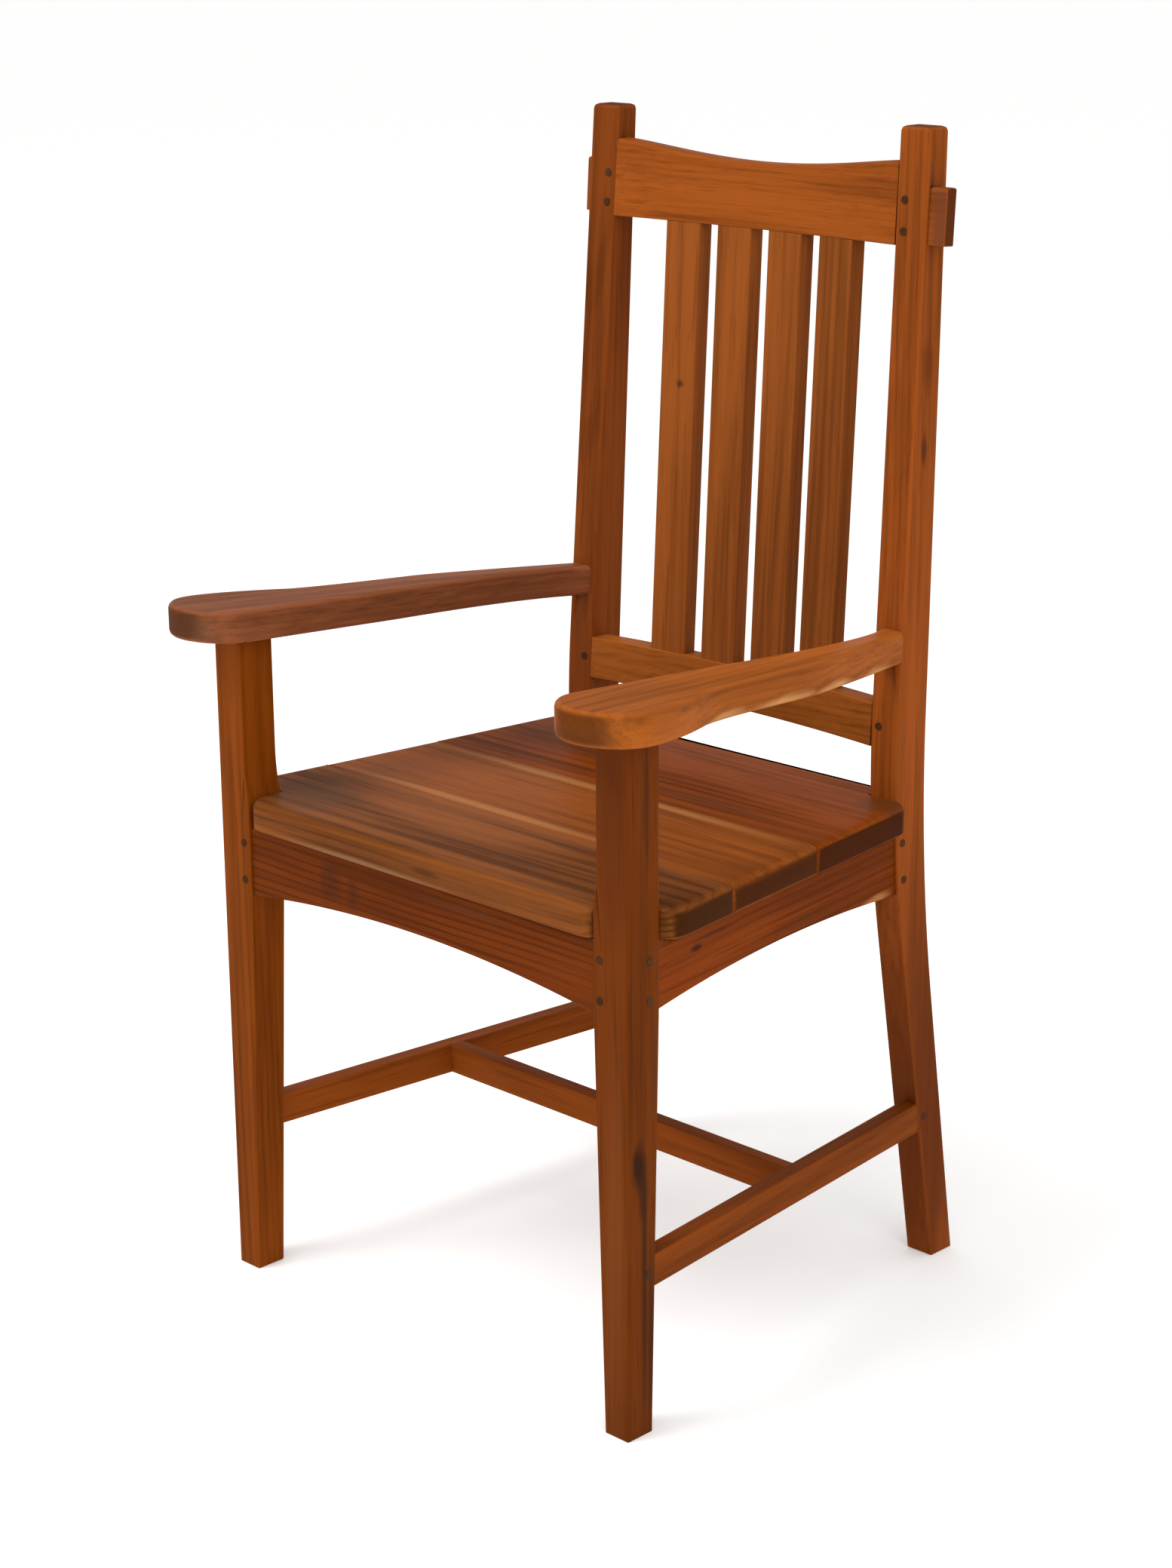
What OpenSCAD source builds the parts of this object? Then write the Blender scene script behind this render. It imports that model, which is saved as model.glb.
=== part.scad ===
// Wooden armchair: a pegged mortise-and-tenon frame with a tall bowed slat back,
// flat arms with round ends, and a seat of three solid boards.
// Millimetres, +Z up, floor at z = 0. The chair faces -Y, and +X is the sitter's left.
// Every module works in chair coordinates, where y = 0 is the front of the front legs;
// centred() then moves the middle of the whole chair's depth to the origin.

/* [Overall] */
// Height of the back posts
post_h = 1052; // [1032:1:1080]
// Height of the top of the seat
seat_h = 464; // [460:1:468]
// Height of the arm's underside above the front of the front leg
arm_h = 613; // [600:1:625]
// Distance between the outer faces of the front legs
front_w = 510; // [500:2:520]

/* [Front legs] */
// Thickness of the leg, across the chair, at the aprons
leg_x = 38.5; // [36:0.5:42]
// Thickness of the leg, front to back, at the aprons
leg_y = 38.5; // [36:0.5:42]
// Thickness across the chair above the seat
leg_neck = 34.5; // [30:0.5:35]
// Thickness front to back above the seat
neck_y = 38; // [34:0.5:38]
// Thickness across the chair at the floor
foot_x = 27.5; // [24:0.5:32]
// Thickness front to back at the floor
foot_y = 30; // [26:0.5:34]

/* [Back posts] */
// Distance between the outer faces at the floor
post_w = 424; // [416:2:430]
// How far each outer face leans in over the whole height
post_lean_out = 11; // [9:0.5:13]
// How far each inner face leans in over the whole height
post_lean_in = 16.5; // [14:0.5:18]
// Thickness across the chair at the floor
post_x = 28.5; // [26:0.5:30]

/* [Seat] */
// Thickness of the seat boards
seat_t = 27; // [24:1:29]
// Overhang of the seat past the sides of the frame
seat_overhang = 14; // [8:1:16]
// Depth of the front board, measured from the front of the legs
board_1 = 125; // [115:5:135]
// Depth of the middle board
board_2 = 126; // [115:1:135]

/* [Aprons and stretchers] */
// Height of the aprons at their ends
apron_h = 64; // [60:1:68]
// Thickness of the aprons
apron_t = 20; // [17:0.5:21]
// Rise of the arch under the front and rear aprons
arch_front = 16; // [0:1:24]
// Rise of the arch under the side aprons
arch_side = 10; // [0:1:20]
// How much higher the side aprons' lower edge is at the front than at the rear
side_lift = 3; // [0:0.5:6]
// Setback of the aprons from the faces of the legs
setback = 3; // [1:0.5:4]
// Height of the middle of the stretchers
stretcher_z = 147; // [130:1:200]
// Height of the stretchers' section
stretcher_h = 29; // [25:1:34]
// Thickness of the stretchers
stretcher_t = 16; // [14:0.5:18]

/* [Back] */
// Width of each back slat
slat_w = 40.5; // [30:0.5:42]
// Thickness of each back slat
slat_t = 18; // [12:0.5:18]
// Distance between the middles of neighbouring slats
slat_pitch = 61.5; // [50:0.5:66]
// Shift of the slats and crest rail as a group, towards the sitter's left
back_shift = 6; // [-8:1:8]
// Thickness of the crest rail
crest_t = 18.5; // [17.5:0.5:22]
// How far the crest rail bows back in its middle
crest_bow = 8; // [4:0.5:12]
// How far the crest rail's top dips in its middle
crest_dip = 12.5; // [0:0.5:20]
// Thickness of the lower back rail
low_t = 20; // [19:0.5:21]
// How far the lower back rail bows back in its middle
low_bow = 12.5; // [6:0.5:14]
// How far the crest rail's tenons stand out of the posts
tenon_show = 12; // [10:0.5:20]

/* [Arms] */
// Thickness of the arms
arm_t = 29.5; // [24:0.5:32]
// Radius of the round front end
arm_r = 44; // [40:0.5:46]

/* [Joinery] */
// Diameter of the pegs
peg_d = 7; // [5:0.5:8]
// Length of the pegs
peg_len = 23; // [18:1:24]

/* [Hidden] */

fit = 0.1;          // gap on each side of a tenon, peg or screw in its hole
gap = 0.6;          // gap between the seat and the legs it is notched round
tenon_root = 8;     // how far a tenon starts inside its own board
tenon_deep = 20;    // how far a blind tenon reaches into its mortise
tenon_edge = 6;     // from a board's lower edge to its tenon
tenon_top = 8;      // from an apron's upper edge to its tenon
tenon_t = 9;        // thickness of the tenons
steps = 12;         // straight steps that make up a curve
left = 1;           // the sitter's left is +X
right = -1;

// Colours
oiled = "#9c5526";
amber = "#a8602a";
seat_brown = "#7d4a26";
dark_peg = "#4a2a18";
block_wood = "#8a6238";
steel = "#8d8f92";

// Side view of the back post, as [y, z]: the foot, the corner that the curve rounds, the top
post_front = [[459, 0], [391.3, 439], [430.6, post_h]];
post_back = [[490, 0], [434, 403], [455, post_h]];
front_reach = 110;  // how far each curve reaches up and down from its corner
back_reach = 130;

// A point on the line from a to b, at height z
function at_height(a, b, z) = a + (b - a) * (z - a[1]) / (b[1] - a[1]);

// Quadratic curve from a to b that is pulled towards m
function curve(a, m, b, n = steps) =
    [for (i = [0:n]) let (t = i / n) (1 - t) * (1 - t) * a + 2 * t * (1 - t) * m + t * t * b];

// Three-point line whose middle corner is rounded over reach above and below it
function kneed(p, reach) = concat(
    [p[0]],
    curve(at_height(p[0], p[1], p[1][1] - reach), p[1], at_height(p[1], p[2], p[1][1] + reach)),
    [p[2]]
);

function reversed(v) = [for (i = [len(v) - 1:-1:0]) v[i]];

// Circular arc about c from angle a0 to angle a1
function arc(c, r, a0, a1, n = steps) =
    [for (i = [0:n]) let (a = a0 + (a1 - a0) * i / n) c + r * [cos(a), sin(a)]];

// Corner v of an outline, between the points a and b, rounded to radius r
function rounded(a, v, b, r, n = 6) =
    let (
        u = (a - v) / norm(a - v),
        w = (b - v) / norm(b - v),
        half = acos(u * w) / 2,
        back = r / tan(half)
    )
    curve(v + u * back, v, v + w * back, n);

front_curve = kneed(post_front, front_reach);
back_curve = kneed(post_back, back_reach);
function post_front_y(z) = lookup(z, [for (p = front_curve) [p[1], p[0]]]);
function post_back_y(z) = lookup(z, [for (p = back_curve) [p[1], p[0]]]);

// Faces of the posts and legs at height z
function post_out(z) = post_w / 2 - post_lean_out * z / post_h;
function post_in(z) = post_w / 2 - post_x - post_lean_in * z / post_h;
leg_out = front_w / 2;
leg_in = leg_out - leg_x;
seat_under = seat_h - seat_t;
apron_under = seat_under - apron_h;
function leg_back(z) = z < apron_under ? foot_y + (leg_y - foot_y) * z / apron_under : leg_y;

// Outer side of the frame, seen from above: a line from the front leg to the back post
frame_z = seat_under - apron_h / 2;
frame_back_y = post_front_y(frame_z);
frame_slope = (post_out(frame_z) - leg_out) / (frame_back_y - leg_y);
frame_angle = atan(frame_slope);
function frame_x(y) = leg_out + frame_slope * (y - leg_y);

// Stretcher line, seen from above
low_back_y = post_front_y(stretcher_z);
low_front_y = leg_back(stretcher_z);
low_slope = (post_out(stretcher_z) - leg_out) / (low_back_y - low_front_y);
low_angle = atan(low_slope);
function low_x(y) = leg_out - 1 + low_slope * (y - low_front_y);
stretcher_lo = stretcher_z - stretcher_h / 2;
stretcher_hi = stretcher_z + stretcher_h / 2;
cross_y = 247;      // middle of the cross stretcher
rear_apron_y = 413; // front face of the rear apron
side_tenon_rear = rear_apron_y + 2.5 - frame_back_y;  // stops short of the rear apron's tenon

// Heights in the back
crest_lo = 951;
crest_hi = 1022;
crest_tenon_lo = 953.5;
crest_tenon_hi = 1003;
low_lo = 509;
low_hi = 549;
knee = post_front[1];
rake = atan((post_front[2][0] - knee[0]) / (post_front[2][1] - knee[1]));
function up(z) = (z - knee[1]) / cos(rake);

// Arm: slopes down to the back, where it meets the post
arm_fall = 0.061;
arm_tip = [242, -4];
function arm_under(y) = arm_h - arm_fall * y;
arm_end_y = post_front_y(arm_under(400) + arm_t / 2);

// Pegs
proud = 0.4;        // how far a peg's head stands out of an upright face
proud_raked = 0.7;  // the same where the face slopes
peg_high = seat_under - 14.5;
peg_low = seat_under - 49.5;
front_peg_x = leg_in + 8;
side_peg_y = leg_y - 11.5;
post_peg_in = 9.2;  // from the post's inner face to the pegs of the back
crest_peg_z = [990, 963];
low_peg_z = 529;

// Middle of the whole depth, from the arm's tip to the foot of the back post
mid_y = (arm_tip[1] - arm_r + post_back[0][0]) / 2;

module centred() {
    translate([0, -mid_y, 0]) children();
}

// Mirrors a part made on the +X side to the side that is asked for
module on_side(side) {
    mirror([side < 0 ? 1 : 0, 0, 0]) children();
}

// Outline in [y, z], extruded from x0 to x1
module along_x(points, x0, x1) {
    translate([x0, 0, 0])
        rotate([90, 0, 90])
            linear_extrude(x1 - x0) polygon(points);
}

// Outline in [x, z], extruded from y0 to y1
module along_y(points, y0, y1) {
    translate([0, y1, 0])
        rotate([90, 0, 0])
            linear_extrude(y1 - y0) polygon(points);
}

// Box from corner a to corner b, larger by grow on every side
module block(a, b, grow = 0) {
    g = [grow, grow, grow];
    translate(a - g) cube(b - a + 2 * g);
}

// Frame that lies in the raked front plane of the back, with z measured up from the knee
module raked() {
    translate([0, knee[0], knee[1]]) rotate([-rake, 0, 0]) children();
}

// ---------------------------------------------------------------- pegs and screws

module peg_along_y(x, y, z, grow = 0) {
    translate([x, y, z]) rotate([-90, 0, 0])
        translate([0, 0, -grow]) cylinder(d = peg_d + 2 * grow, h = peg_len + 2 * grow, $fn = 32);
}

// Peg driven towards the middle of the chair from a side face at x
module peg_inward(x, y, z, grow = 0) {
    translate([x, y, z]) rotate([0, -90, 0])
        translate([0, 0, -grow]) cylinder(d = peg_d + 2 * grow, h = peg_len + 2 * grow, $fn = 32);
}

module crest_pegs(grow = 0) {
    for (z = crest_peg_z)
        peg_along_y(post_in(z) + post_peg_in, post_front_y(z) - proud_raked, z, grow);
}

module low_rail_pegs(grow = 0) {
    peg_along_y(post_in(low_peg_z) + post_peg_in, post_front_y(low_peg_z) - proud_raked, low_peg_z,
                grow);
}

module front_pegs(grow = 0) {
    for (z = [peg_low, peg_high]) peg_along_y(front_peg_x, -proud, z, grow);
}

module rear_pegs(grow = 0) {
    for (z = [peg_low, peg_high])
        peg_along_y(post_in(z) + post_peg_in, post_back_y(z) - peg_len + proud_raked, z, grow);
}

module side_pegs(grow = 0) {
    for (z = [peg_low, peg_high]) {
        peg_inward(leg_out + proud, side_peg_y, z, grow);
        peg_inward(post_out(z) + proud, post_front_y(z) + 8, z, grow);
    }
}

module stretcher_pegs(grow = 0) {
    peg_inward(leg_out + proud, low_front_y - 8, stretcher_z, grow);
    peg_inward(post_out(stretcher_z) + proud, low_back_y + 8, stretcher_z, grow);
}

// Countersunk wood screw, point up, head flush with z = 0
module screw(length, grow = 0) {
    shank = 4;
    head = 8;
    head_h = 3;
    cylinder(d1 = head + 2 * grow, d2 = shank + 2 * grow, h = head_h, $fn = 24);
    cylinder(d = shank + 2 * grow, h = length + grow, $fn = 24);
}

// ---------------------------------------------------------------- tenons

// Through tenon of the crest rail, one side, made on the +X side
module crest_tenon(side, grow = 0) {
    face = 3.5;     // from the rail's front to the tenon's
    thick = 13;
    show = tenon_show + side * back_shift;
    raked()
        block([post_in(crest_lo) - tenon_root, face, up(crest_tenon_lo)],
              [post_out(crest_lo) + show, face + thick, up(crest_tenon_hi)], grow);
}

// Blind tenon of the lower back rail, one side
module low_rail_tenon(grow = 0) {
    face = 6;
    raked()
        block([post_in(low_lo) - tenon_root, face, up(low_lo) + tenon_edge],
              [post_in(low_lo) + tenon_deep, face + tenon_t, up(low_hi) - tenon_edge], grow);
}

module front_apron_tenon(grow = 0) {
    face = setback + (apron_t - tenon_t) / 2;
    block([leg_in - tenon_root, face, apron_under + tenon_edge],
          [leg_in + tenon_deep, face + tenon_t, seat_under - tenon_top], grow);
}

module rear_apron_tenon(grow = 0) {
    face = rear_apron_y + tenon_edge;
    x = post_in(frame_z);
    block([x - tenon_root - 2, face, apron_under + tenon_edge],
          [x + tenon_deep - 2, face + tenon_t, seat_under - tenon_top], grow);
}

// Tenon from y0 to y1 that runs along a side board, seen from above at an angle.
// The board's middle line is middle_x at y = 0, and it leans by slope.
module side_tenon(y0, y1, middle_x, slope, z0, z1, grow = 0) {
    half = tenon_t / 2 / cos(atan(slope)) + grow;
    a = y0 - grow;
    b = y1 + grow;
    translate([0, 0, z0 - grow]) linear_extrude(z1 - z0 + 2 * grow)
        polygon([
            [middle_x + slope * a - half, a], [middle_x + slope * a + half, a],
            [middle_x + slope * b + half, b], [middle_x + slope * b - half, b]
        ]);
}

module side_apron_tenons(grow = 0) {
    middle = frame_x(0) - (setback + apron_t / 2) / cos(frame_angle);
    z0 = apron_under + tenon_edge;
    z1 = seat_under - tenon_top;
    side_tenon(leg_y - tenon_deep, leg_y + tenon_root, middle, frame_slope, z0, z1, grow);
    side_tenon(frame_back_y - tenon_root, frame_back_y + side_tenon_rear, middle, frame_slope,
               z0, z1, grow);
}

module stretcher_tenons(grow = 0) {
    middle = low_x(0) - stretcher_t / 2 / cos(low_angle);
    z0 = stretcher_lo + tenon_edge;
    z1 = stretcher_hi - tenon_edge;
    deep = tenon_deep - 2;
    side_tenon(low_front_y - deep, low_front_y + tenon_root, middle, low_slope, z0, z1, grow);
    side_tenon(low_back_y - tenon_root, low_back_y + deep, middle, low_slope, z0, z1, grow);
}

// Stub tenon on top of the front leg, inside the arm
module leg_tenon(grow = 0) {
    middle = leg_out - leg_neck / 2;
    half = tenon_t;
    block([middle - half, tenon_t, arm_h - tenon_top],
          [middle + half, neck_y - tenon_t, arm_h + arm_t / 2], grow);
}

// Tenon at the arm's rear end, inside the back post
module arm_tenon(grow = 0) {
    z = arm_under(arm_end_y) + arm_t / 2;
    x = post_out(z) - post_x / 2;
    half = tenon_t / 2;
    block([x - half, arm_end_y - tenon_root - 4, z - tenon_t],
          [x + half, arm_end_y + tenon_deep, z + tenon_t], grow);
}

module cross_tenon(grow = 0) {
    x = low_x(cross_y) - stretcher_t;
    reach = 8;
    half = tenon_t / 2;
    block([x - reach, cross_y - half, stretcher_lo + tenon_edge],
          [x + reach, cross_y + half, stretcher_hi - tenon_edge], grow);
}

// ---------------------------------------------------------------- legs and posts

module front_leg(side) {
    flare_h = 40;
    flare = leg_x - leg_neck;
    flare_r = (flare_h * flare_h + flare * flare) / (2 * flare);
    flare_top = [leg_out - leg_neck, seat_h + flare_h];
    flare_end = asin(flare_h / flare_r);
    inner = arc(flare_top - [flare_r, 0], flare_r, 0, -flare_end, 8);
    outline = concat(
        [[leg_out, 0], [leg_out, arm_h], [leg_out - leg_neck, arm_h]],
        inner,
        [[leg_in, apron_under], [leg_out - foot_x, 0]]
    );
    side_view = [
        [0, 0], [foot_y, 0], [leg_y, apron_under], [leg_y, seat_h],
        [neck_y, seat_h + flare_h], [neck_y, arm_under(neck_y)], [0, arm_under(0)]
    ];
    centred() on_side(side) color(oiled) difference() {
        union() {
            intersection() {
                along_y(outline, -5, leg_y + 5);
                along_x(side_view, leg_in - 5, leg_out + 5);
            }
            leg_tenon();
        }
        front_apron_tenon(fit);
        side_apron_tenons(fit);
        stretcher_tenons(fit);
        front_pegs(fit);
        side_pegs(fit);
        stretcher_pegs(fit);
    }
}

module back_post(side) {
    side_view = concat(front_curve, reversed(back_curve));
    front_view = [
        [post_in(0), 0], [post_out(0), 0], [post_out(post_h), post_h], [post_in(post_h), post_h]
    ];
    centred() on_side(side) color(oiled) difference() {
        intersection() {
            along_x(side_view, 100, 300);
            along_y(front_view, 350, 520);
        }
        crest_tenon(side, fit);
        low_rail_tenon(fit);
        arm_tenon(fit);
        rear_apron_tenon(fit);
        side_apron_tenons(fit);
        stretcher_tenons(fit);
        crest_pegs(fit);
        low_rail_pegs(fit);
        rear_pegs(fit);
        side_pegs(fit);
        stretcher_pegs(fit);
    }
}

module front_leg_left() { front_leg(left); }
module front_leg_right() { front_leg(right); }
module back_post_left() { back_post(left); }
module back_post_right() { back_post(right); }

// ---------------------------------------------------------------- aprons and stretchers

// Lower edge of an apron as [across, z], arched by rise between -half and +half
function arched(half, z, rise) =
    [for (i = [-steps:steps]) let (s = i / steps) [half * s, z + rise * (1 - s * s)]];

module front_apron() {
    outline = concat(
        arched(leg_in, apron_under, arch_front),
        [[leg_in, seat_under], [-leg_in, seat_under]]
    );
    centred() color(amber) difference() {
        union() {
            along_y(outline, setback, setback + apron_t);
            for (side = [left, right]) on_side(side) front_apron_tenon();
        }
        for (side = [left, right]) on_side(side) front_pegs(fit);
    }
}

module rear_apron() {
    half_lo = post_in(apron_under);
    half_hi = post_in(seat_under);
    outline = concat(
        arched(half_lo, apron_under, arch_front),
        [[half_hi, seat_under], [-half_hi, seat_under]]
    );
    centred() color(amber) difference() {
        union() {
            along_y(outline, rear_apron_y, rear_apron_y + apron_t);
            for (side = [left, right]) on_side(side) rear_apron_tenon();
        }
        for (side = [left, right]) on_side(side) rear_pegs(fit);
    }
}

// Side view of a board from the front leg's back face to the back post's front face
function between(z0, z1, n = 8) = concat(
    [[leg_back(z1), z1], [leg_back(z0), z0]],
    [for (i = [0:n]) let (z = z0 + (z1 - z0) * i / n) [post_front_y(z), z]]
);

module side_apron(side) {
    arch = [for (i = [-steps:steps]) let (s = i / steps, y0 = leg_y, y1 = frame_back_y)
        [(y0 + y1) / 2 + (y1 - y0) / 2 * s,
         apron_under + arch_side * (1 - s * s) + side_lift * (1 - s) / 2]];
    under = concat(arch, [[frame_back_y, apron_under - 5], [leg_y, apron_under - 5]]);
    centred() on_side(side) color(amber) difference() {
        union() {
            difference() {
                intersection() {
                    along_x(between(apron_under, seat_under), 100, 300);
                    translate([frame_x(leg_y), leg_y, 0]) rotate([0, 0, -frame_angle])
                        block([-setback - apron_t, -50, 0], [-setback, 500, 600]);
                }
                along_x(under, 100, 300);
            }
            side_apron_tenons();
        }
        side_pegs(fit);
    }
}

module side_apron_left() { side_apron(left); }
module side_apron_right() { side_apron(right); }

module side_stretcher(side) {
    centred() on_side(side) color(oiled) difference() {
        union() {
            intersection() {
                along_x(between(stretcher_lo, stretcher_hi), 100, 300);
                translate([low_x(low_front_y), low_front_y, 0]) rotate([0, 0, -low_angle])
                    block([-stretcher_t, -50, 0], [0, 500, 600]);
            }
            stretcher_tenons();
        }
        stretcher_pegs(fit);
        cross_tenon(fit);
    }
}

module side_stretcher_left() { side_stretcher(left); }
module side_stretcher_right() { side_stretcher(right); }

module cross_stretcher() {
    y0 = cross_y - stretcher_t / 2;
    y1 = cross_y + stretcher_t / 2;
    skew = stretcher_t / cos(low_angle);
    x0 = low_x(y0) - skew;
    x1 = low_x(y1) - skew;
    centred() color(oiled) union() {
        translate([0, 0, stretcher_lo])
            linear_extrude(stretcher_h) polygon([[-x0, y0], [x0, y0], [x1, y1], [-x1, y1]]);
        for (side = [left, right]) on_side(side) cross_tenon();
    }
}

// ---------------------------------------------------------------- seat

seat_front_y = -2;
seat_back_y = 419;
seat_notch_y = min([for (z = [seat_under:3:seat_h + 1]) post_front_y(z)]) - gap;
function seat_x(y) = frame_x(y) + seat_overhang;

// Right half of the seat's outline, from the front to the back
function seat_half() =
    let (
        front = [leg_in - gap, seat_front_y],
        leg_corner = [leg_in - gap, leg_y + gap],
        wing = [seat_x(leg_y), leg_y + gap],
        rear = [seat_x(seat_notch_y), seat_notch_y],
        post_corner = [post_in(seat_h) - gap, seat_notch_y],
        back = [post_in(seat_h) - gap, seat_back_y]
    )
    concat(
        rounded([0, seat_front_y], front, leg_corner, 16),
        [leg_corner],
        rounded(leg_corner, wing, rear, 20),
        rounded(wing, rear, post_corner, 16),
        [post_corner],
        rounded(post_corner, back, [0, seat_back_y], 4)
    );

module seat_slab() {
    half = seat_half();
    mirrored = [for (p = reversed(half)) [-p[0], p[1]]];
    translate([0, 0, seat_under]) linear_extrude(seat_t) polygon(concat(half, mirrored));
}

joint_1 = board_1;
joint_2 = board_1 + board_2;
spline_w = 20;
spline_t = 6;
spline_front_half = 215;
spline_rear_half = 200;

// Loose spline across a joint between two seat boards
module spline(y, half, grow = 0) {
    mid = seat_h - seat_t / 2;
    block([-half, y - spline_w / 2, mid - spline_t / 2],
          [half, y + spline_w / 2, mid + spline_t / 2], grow);
}

module seat_board(y0, y1) {
    centred() color(seat_brown) difference() {
        intersection() {
            seat_slab();
            block([-400, y0, seat_under - 5], [400, y1, seat_h + 5]);
        }
        spline(joint_1, spline_front_half, fit);
        spline(joint_2, spline_rear_half, fit);
        for (side = [left, right]) on_side(side) block_screws(fit);
    }
}

module seat_board_front() { seat_board(-50, joint_1); }
module seat_board_middle() { seat_board(joint_1, joint_2); }
module seat_board_back() { seat_board(joint_2, 500); }
module seat_spline_front() { centred() color(block_wood) spline(joint_1, spline_front_half); }
module seat_spline_rear() { centred() color(block_wood) spline(joint_2, spline_rear_half); }

// ---------------------------------------------------------------- corner blocks

block_h = 38;
block_reach = 58;   // how far a block reaches along each apron
block_gap = 0.2;    // between a block and the aprons and the seat
notch_gap = 0.3;    // between a block and the leg or post it is notched round
screw_bite = 16;    // how far a screw goes into the seat
screw_in = 12;      // from the inner face of a leg or post to its screw
screw_behind = 16;  // from the front leg's back face to its screw
screw_ahead = 28;   // from the rear apron's front face to its screw
function apron_in(y) = frame_x(y) - (setback + apron_t) / cos(frame_angle) - block_gap;

// Front corner block, notched round the leg's inner corner, seen from above
function front_block() =
    let (y0 = setback + apron_t + block_gap, y1 = leg_y + notch_gap, x0 = leg_in - notch_gap)
    [[x0 - block_reach, y0], [x0, y0], [x0, y1], [apron_in(y1), y1],
     [apron_in(y1 + block_reach), y1 + block_reach]];

// Rear corner block, notched round the post's inner corner
function rear_block() =
    let (
        y0 = rear_apron_y - block_gap,
        y1 = seat_notch_y - notch_gap,
        x0 = post_in(seat_under) - notch_gap
    )
    [[x0 - block_reach, y0], [x0, y0], [x0, y1], [apron_in(y1), y1],
     [apron_in(y1 - block_reach), y1 - block_reach]];

module corner_block(side, outline) {
    centred() on_side(side) color(block_wood) difference() {
        translate([0, 0, seat_under - block_gap - block_h]) linear_extrude(block_h)
            polygon(outline);
        block_screws(fit);
    }
}

module corner_block_front_left() { corner_block(left, front_block()); }
module corner_block_front_right() { corner_block(right, front_block()); }
module corner_block_rear_left() { corner_block(left, rear_block()); }
module corner_block_rear_right() { corner_block(right, rear_block()); }

// Screws of one side, up through the blocks into the seat
module block_screws(grow = 0) {
    under = seat_under - block_gap - block_h;
    front_xy = [leg_in - screw_in, leg_y + screw_behind];
    rear_xy = [post_in(seat_under) - screw_in, rear_apron_y - screw_ahead];
    for (p = [front_xy, rear_xy])
        translate([p[0], p[1], under]) screw(block_h + screw_bite, grow);
}

module seat_screws() {
    centred() color(steel) for (side = [left, right]) on_side(side) block_screws();
}

// ---------------------------------------------------------------- back

// Front or back line of a bowed rail, as [x, y] across the chair
function bowed(half, bow, y) =
    [for (i = [-steps:steps]) let (s = i / steps) [half * s, y + bow * (1 - s * s)]];

// Upright slab in the raked frame that bows back by bow
module bowed_slab(half, bow, thick, z0, z1) {
    raked() translate([0, 0, up(z0)]) linear_extrude(up(z1) - up(z0))
        polygon(concat(bowed(half, bow, 0), reversed(bowed(half, bow, thick))));
}

// Local depth of a bowed rail's front face at x
function bow_at(x, half, bow) = bow * (1 - x * x / (half * half));

crest_half = post_in(crest_lo);
low_half = post_in(low_lo);

module crest_rail() {
    n = 2 * steps;
    fullness = 1.4;   // 1 makes the dip an arc, more makes its ends flow out level
    half = post_in(crest_hi);
    top = [for (i = [n:-1:-n])
        let (x = max(-half, min(half, crest_half * i / n)), s = x / half)
        [x, crest_hi - crest_dip * pow(1 - s * s, fullness)]];
    outline = concat([[-crest_half, crest_lo], [crest_half, crest_lo]], top);
    centred() color(amber) difference() {
        union() {
            intersection() {
                bowed_slab(crest_half, crest_bow, crest_t, crest_lo - 5, crest_hi + 5);
                along_y(outline, 380, 500);
            }
            for (side = [left, right]) on_side(side) crest_tenon(side);
        }
        for (side = [left, right]) on_side(side) crest_pegs(fit);
        for (i = [0:3]) slat_tenons(i, fit);
    }
}

module lower_back_rail() {
    outline = [
        [-post_in(low_lo), low_lo], [post_in(low_lo), low_lo],
        [post_in(low_hi), low_hi], [-post_in(low_hi), low_hi]
    ];
    centred() color(amber) difference() {
        union() {
            intersection() {
                bowed_slab(low_half, low_bow, low_t, low_lo - 5, low_hi + 5);
                along_y(outline, 360, 460);
            }
            for (side = [left, right]) on_side(side) low_rail_tenon();
        }
        for (side = [left, right]) on_side(side) low_rail_pegs(fit);
        for (i = [0:3]) slat_tenons(i, fit);
    }
}

function slat_x(i) = (i - 1.5) * slat_pitch + back_shift;
function slat_turn(i) = -atan(2 * low_bow * slat_x(i) / (low_half * low_half));
function slat_low_y(i) = bow_at(slat_x(i), low_half, low_bow) + (low_t - slat_t) / 2;
function slat_high_y(i) = bow_at(slat_x(i), crest_half, crest_bow) + (crest_t - slat_t) / 2;

// Part of slat i between local heights z0 and z1, thick and wide as asked
module slat_piece(i, z0, z1, wide, thick) {
    slope = (slat_high_y(i) - slat_low_y(i)) / (up(crest_lo) - up(low_hi));
    function mid(z) = slat_low_y(i) + slat_t / 2 + slope * (z - up(low_hi));
    outline = [
        [mid(z0) - thick / 2, z0], [mid(z0) + thick / 2, z0],
        [mid(z1) + thick / 2, z1], [mid(z1) - thick / 2, z1]
    ];
    pivot = [slat_x(i), mid(up(low_hi)), 0];
    raked() translate(pivot) rotate([0, 0, slat_turn(i)]) translate([0, -pivot[1], 0])
        along_x(outline, -wide / 2, wide / 2);
}

module slat_tenons(i, grow = 0) {
    reach = 12;
    tenon_w = slat_w - 10;
    root = 4;       // how far each tenon starts inside the slat
    for (z = [[up(low_hi) - reach, up(low_hi) + root], [up(crest_lo) - root, up(crest_lo) + reach]])
        slat_piece(i, z[0] - grow, z[1] + grow, tenon_w + 2 * grow, tenon_t + 2 * grow);
}

module back_slat(i) {
    spare = 3;      // cut off level again by the two rails
    centred() color(amber) union() {
        intersection() {
            slat_piece(i, up(low_hi) - spare, up(crest_lo) + spare, slat_w, slat_t);
            block([-post_w / 2, knee[0], low_hi], [post_w / 2, knee[0] + 100, crest_lo]);
        }
        slat_tenons(i);
    }
}

module back_slat_1() { back_slat(0); }
module back_slat_2() { back_slat(1); }
module back_slat_3() { back_slat(2); }
module back_slat_4() { back_slat(3); }

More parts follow.
